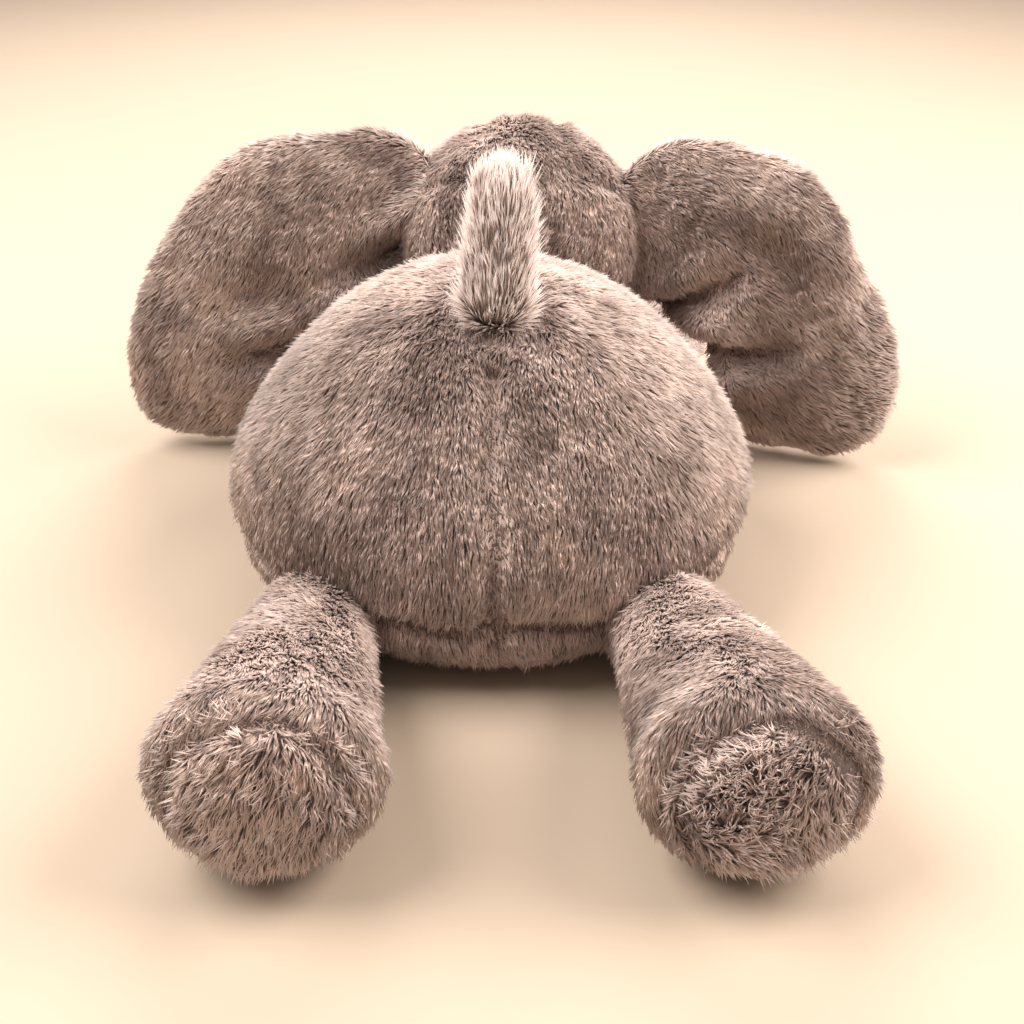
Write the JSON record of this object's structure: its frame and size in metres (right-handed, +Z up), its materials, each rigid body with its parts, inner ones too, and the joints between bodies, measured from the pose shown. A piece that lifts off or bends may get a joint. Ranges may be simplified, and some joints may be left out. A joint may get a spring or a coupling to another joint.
{
  "type": "stuffed elephant",
  "caption": "Soft plush elephant lying on its belly, with padded ears, a short upright tail and stretched-out legs with round soles.",
  "frame": {"origin": "middle of the belly's flat, on the surface that the toy lies on", "axes": "+Z up, the face looks along -Y, the elephant's left side is +X"},
  "size_m": [0.2911, 0.3543, 0.1515],
  "materials": {
    "plush": "matte",
    "stuffing": "matte",
    "pouch_cloth": "matte",
    "beans": "satin",
    "eye": "gloss",
    "washer": "matte"
  },
  "bodies": {
    "torso": {"back_panel_left": "plush", "back_panel_right": "plush", "belly_panel": "plush", "body_fill": "stuffing", "bean_pouch": "pouch_cloth", "beans": "beans"},
    "tail": {"tail_cover": "plush", "tail_fill": "stuffing"},
    "head": {"head_panel_left": "plush", "head_panel_right": "plush", "head_gusset": "plush", "head_fill": "stuffing", "eye_left": "eye", "eye_right": "eye", "eye_washer_left": "washer", "eye_washer_right": "washer"},
    "trunk_base": {"trunk_base_cover": "plush", "trunk_base_fill": "stuffing"},
    "trunk_tip": {"trunk_tip_cover": "plush", "trunk_tip_fill": "stuffing"},
    "ear_left": {"ear_back_left": "plush", "ear_front_left": "plush", "ear_pad_left": "stuffing"},
    "ear_right": {"ear_back_right": "plush", "ear_front_right": "plush", "ear_pad_right": "stuffing"},
    "rear_leg_left": {"rear_leg_left_cover": "plush", "rear_leg_left_sole": "plush", "rear_leg_left_fill": "stuffing"},
    "rear_leg_right": {"rear_leg_right_cover": "plush", "rear_leg_right_sole": "plush", "rear_leg_right_fill": "stuffing"},
    "front_leg_left": {"front_leg_left_cover": "plush", "front_leg_left_sole": "plush", "front_leg_left_fill": "stuffing"},
    "front_leg_right": {"front_leg_right_cover": "plush", "front_leg_right_sole": "plush", "front_leg_right_fill": "stuffing"}
  },
  "joints": [
    {"name": "head_nod", "type": "hinge", "parent": "torso", "child": "head", "pos_m": [-0.009, -0.104, 0.08], "axis": [-1, 0, 0], "range_deg": [0, 18], "stiffness_Nm_per_rad": 0.3},
    {"name": "trunk_lift", "type": "hinge", "parent": "head", "child": "trunk_base", "pos_m": [-0.009, -0.141, 0.068], "axis": [-1, 0, 0], "range_deg": [0, 30], "stiffness_Nm_per_rad": 0.05},
    {"name": "trunk_curl", "type": "hinge", "parent": "trunk_base", "child": "trunk_tip", "pos_m": [-0.009, -0.168, 0.038], "axis": [-1, 0, 0], "range_deg": [0, 28], "stiffness_Nm_per_rad": 0.03},
    {"name": "ear_flap_left", "type": "hinge", "parent": "head", "child": "ear_left", "pos_m": [0.042, -0.097, 0], "axis": [0, 0, 1], "range_deg": [-10, 20], "stiffness_Nm_per_rad": 0.03},
    {"name": "ear_flap_right", "type": "hinge", "parent": "head", "child": "ear_right", "pos_m": [-0.06, -0.097, 0], "axis": [0, 0, -1], "range_deg": [-10, 14], "stiffness_Nm_per_rad": 0.03},
    {"name": "rear_leg_swing_left", "type": "hinge", "parent": "torso", "child": "rear_leg_left", "pos_m": [0.052, 0.064, 0.0212], "axis": [0, 0, -1], "range_deg": [-12, 16], "stiffness_Nm_per_rad": 0.06},
    {"name": "rear_leg_swing_right", "type": "hinge", "parent": "torso", "child": "rear_leg_right", "pos_m": [-0.052, 0.064, 0.0212], "axis": [0, 0, 1], "range_deg": [-12, 16], "stiffness_Nm_per_rad": 0.06},
    {"name": "front_leg_swing_left", "type": "hinge", "parent": "torso", "child": "front_leg_left", "pos_m": [0.044, -0.078, 0.0212], "axis": [0, 0, 1], "range_deg": [-3, 5], "stiffness_Nm_per_rad": 0.06},
    {"name": "front_leg_swing_right", "type": "hinge", "parent": "torso", "child": "front_leg_right", "pos_m": [-0.055, -0.078, 0.0212], "axis": [0, 0, -1], "range_deg": [-3, 5], "stiffness_Nm_per_rad": 0.06},
    {"name": "tail_lean", "type": "hinge", "parent": "torso", "child": "tail", "pos_m": [-0.001, 0.03, 0.106], "axis": [1, 0, 0], "range_deg": [-18, 18], "stiffness_Nm_per_rad": 0.02}
  ]
}
